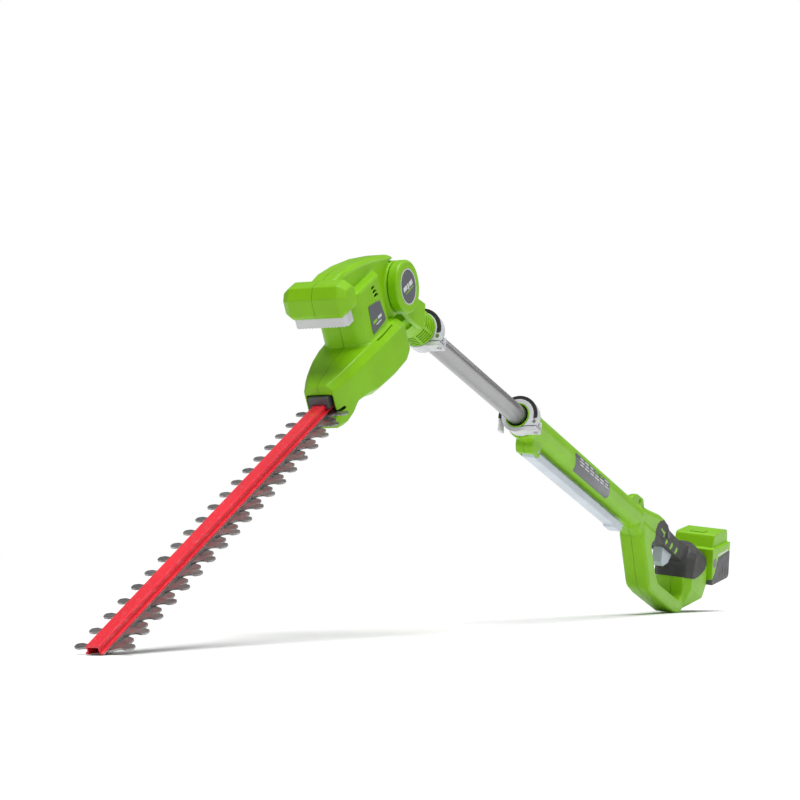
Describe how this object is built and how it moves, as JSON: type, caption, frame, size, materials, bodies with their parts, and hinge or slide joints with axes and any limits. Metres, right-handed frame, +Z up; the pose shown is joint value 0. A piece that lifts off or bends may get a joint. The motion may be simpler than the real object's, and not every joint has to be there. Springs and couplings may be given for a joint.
{
  "type": "pole hedge trimmer",
  "caption": "Battery pole hedge trimmer: a tilting cutter head with toothed blades on a telescoping tube, with a trigger handle and a slide-on battery pack.",
  "frame": {"origin": "centre of the bounding box, on the ground the tool stands on with its cutter tip and its handle foot", "axes": "+X from the cutter tip to the battery, level with the ground; +Z up; +Y to the right of an operator who looks along -X"},
  "size_m": [1.8161, 0.086, 0.4314],
  "materials": {
    "green_plastic": "moulded, fine satin texture",
    "battery_green": "moulded, satin",
    "dark_plastic": "moulded, fine grain",
    "grip_rubber": "soft matt",
    "white_plastic": "satin",
    "pale_plastic": "satin",
    "black_plastic": "satin",
    "label": "printed label, semi gloss",
    "tube_aluminium": "satin anodised",
    "red_paint": "gloss powder coat",
    "blade_steel": "ground",
    "bright_steel": "bright",
    "dark_steel": "dark satin",
    "zinc_steel": "zinc plated",
    "gear_steel": "machined",
    "cast_alloy": "as cast",
    "board_green": "solder mask",
    "cell_wrap": "shrink wrap",
    "bush_plastic": "satin"
  },
  "bodies": {
    "handle": {"handle_shell_left": "green_plastic", "handle_shell_right": "green_plastic", "grip_rubber": "grip_rubber", "handle_screws": "zinc_steel", "trigger_pin": "zinc_steel", "trigger_switch": "black_plastic", "paddle_pin": "zinc_steel", "paddle_switch": "black_plastic", "tube_bush": "bush_plastic", "control_board": "board_green", "handle_badge": "label", "terminal_block": "black_plastic", "rear_clamp_band": "white_plastic", "rear_clamp_screw": "zinc_steel", "rear_clamp_pin": "zinc_steel"},
    "rear_lever": {"rear_clamp_lever": "white_plastic", "rear_clamp_strap": "black_plastic"},
    "pole": {"pole_tube": "tube_aluminium", "pole_end_plug": "black_plastic"},
    "neck": {"neck_shell_left": "green_plastic", "neck_shell_right": "green_plastic", "neck_screws": "zinc_steel", "pivot_bolt": "zinc_steel", "pivot_badge_left": "label", "pivot_badge_right": "label", "detent_disc": "gear_steel", "front_clamp_band": "white_plastic", "front_clamp_screw": "zinc_steel", "front_clamp_pin": "zinc_steel"},
    "front_lever": {"front_clamp_lever": "white_plastic", "front_clamp_strap": "black_plastic"},
    "head": {"head_shell_left": "green_plastic", "head_shell_right": "green_plastic", "head_screws": "zinc_steel", "head_badge": "label", "motor": "zinc_steel", "gear_case": "cast_alloy", "base_plate": "zinc_steel", "gear_axle": "gear_steel", "blade_bar": "red_paint", "guide_rail": "bright_steel", "bar_weld_nuts": "zinc_steel", "blade_bolts": "zinc_steel", "entry_plate": "dark_steel"},
    "release_lever": {"release_lever": "white_plastic"},
    "lock_pawl": {"lock_pawl": "gear_steel"},
    "drive_gear": {"drive_gear": "gear_steel"},
    "motor_pinion": {"motor_pinion": "gear_steel"},
    "upper_blade": {"upper_blade": "blade_steel"},
    "lower_blade": {"lower_blade": "blade_steel"},
    "trigger": {"trigger": "pale_plastic"},
    "lock_off_button": {"lock_off_button": "dark_plastic"},
    "paddle": {"paddle": "pale_plastic"},
    "battery": {"battery_base": "dark_plastic", "battery_cover": "battery_green", "battery_cells": "cell_wrap"},
    "battery_latch": {"battery_latch": "battery_green"}
  },
  "joints": [
    {"name": "pole_slide", "type": "slide", "parent": "handle", "child": "pole", "axis": [0.9646, 0, -0.2637], "range_m": [-0.1, 0.25]},
    {"name": "neck_twist", "type": "hinge", "parent": "pole", "child": "neck", "pos_m": [-0.2407, 0.00235, 0.3641], "axis": [0.9646, 0, -0.2637], "range_deg": [-90, 90]},
    {"name": "head_tilt", "type": "hinge", "parent": "neck", "child": "head", "pos_m": [-0.31507, 0.00235, 0.39542], "axis": [0, 1, 0], "range_deg": [-22.5, 89]},
    {"name": "front_clamp_flip", "type": "hinge", "parent": "neck", "child": "front_lever", "pos_m": [-0.20796, -0.02215, 0.34581], "axis": [0.9646, 0, -0.2637], "range_deg": [0, 80]},
    {"name": "rear_clamp_flip", "type": "hinge", "parent": "handle", "child": "rear_lever", "pos_m": [0.09878, -0.02215, 0.26196], "axis": [0.9646, 0, -0.2637], "range_deg": [0, 80]},
    {"name": "trigger_squeeze", "type": "hinge", "parent": "handle", "child": "trigger", "pos_m": [0.67527, 0.00272, 0.1106], "axis": [0.0321, 0.9925, 0.1176], "range_deg": [-9, 0], "stiffness_Nm_per_rad": 0.3, "springref_deg": 17.19},
    {"name": "lock_off_slide", "type": "slide", "parent": "handle", "child": "lock_off_button", "axis": [0.0321, 0.9925, 0.1176], "range_m": [0, 0.0025], "stiffness_N_per_m": 400, "springref_m": -0.002},
    {"name": "paddle_squeeze", "type": "hinge", "parent": "handle", "child": "paddle", "pos_m": [0.14443, 0.00601, 0.22794], "axis": [0.0321, 0.9925, 0.1176], "range_deg": [-0.8, 0], "stiffness_Nm_per_rad": 8, "springref_deg": 11.46},
    {"name": "battery_slide", "type": "slide", "parent": "handle", "child": "battery", "axis": [0.9848, -0.0515, 0.1656], "range_m": [0, 0.07]},
    {"name": "battery_latch_press", "type": "slide", "parent": "battery", "child": "battery_latch", "axis": [0.1704, 0.1105, -0.9792], "range_m": [0, 0.003], "stiffness_N_per_m": 500, "springref_m": -0.002},
    {"name": "release_squeeze", "type": "slide", "parent": "head", "child": "release_lever", "axis": [-0.4859, 0, 0.874], "range_m": [0, 0.006], "stiffness_N_per_m": 400, "springref_m": -0.004},
    {"name": "pawl_lift", "type": "slide", "parent": "head", "child": "lock_pawl", "axis": [-0.934, 0, 0.3572], "range_m": [0, 0.004]},
    {"name": "gear_spin", "type": "hinge", "parent": "head", "child": "drive_gear", "pos_m": [-0.3953, 0.00235, 0.30448], "axis": [-0.4859, 0, 0.874], "continuous": true},
    {"name": "pinion_spin", "type": "hinge", "parent": "head", "child": "motor_pinion", "pos_m": [-0.37126, 0.00235, 0.31784], "axis": [-0.4859, 0, 0.874], "continuous": true},
    {"name": "upper_blade_slide", "type": "slide", "parent": "head", "child": "upper_blade", "axis": [0.874, 0, 0.4859], "range_m": [-0.006, 0.006]},
    {"name": "lower_blade_slide", "type": "slide", "parent": "head", "child": "lower_blade", "axis": [0.874, 0, 0.4859], "range_m": [-0.006, 0.006]}
  ],
  "couplings": [
    {"joint": "pinion_spin", "follows": "gear_spin", "ratio": -4},
    {"joint": "lower_blade_slide", "follows": "upper_blade_slide", "ratio": -1},
    {"joint": "pawl_lift", "follows": "release_squeeze", "ratio": 0.66667}
  ]
}
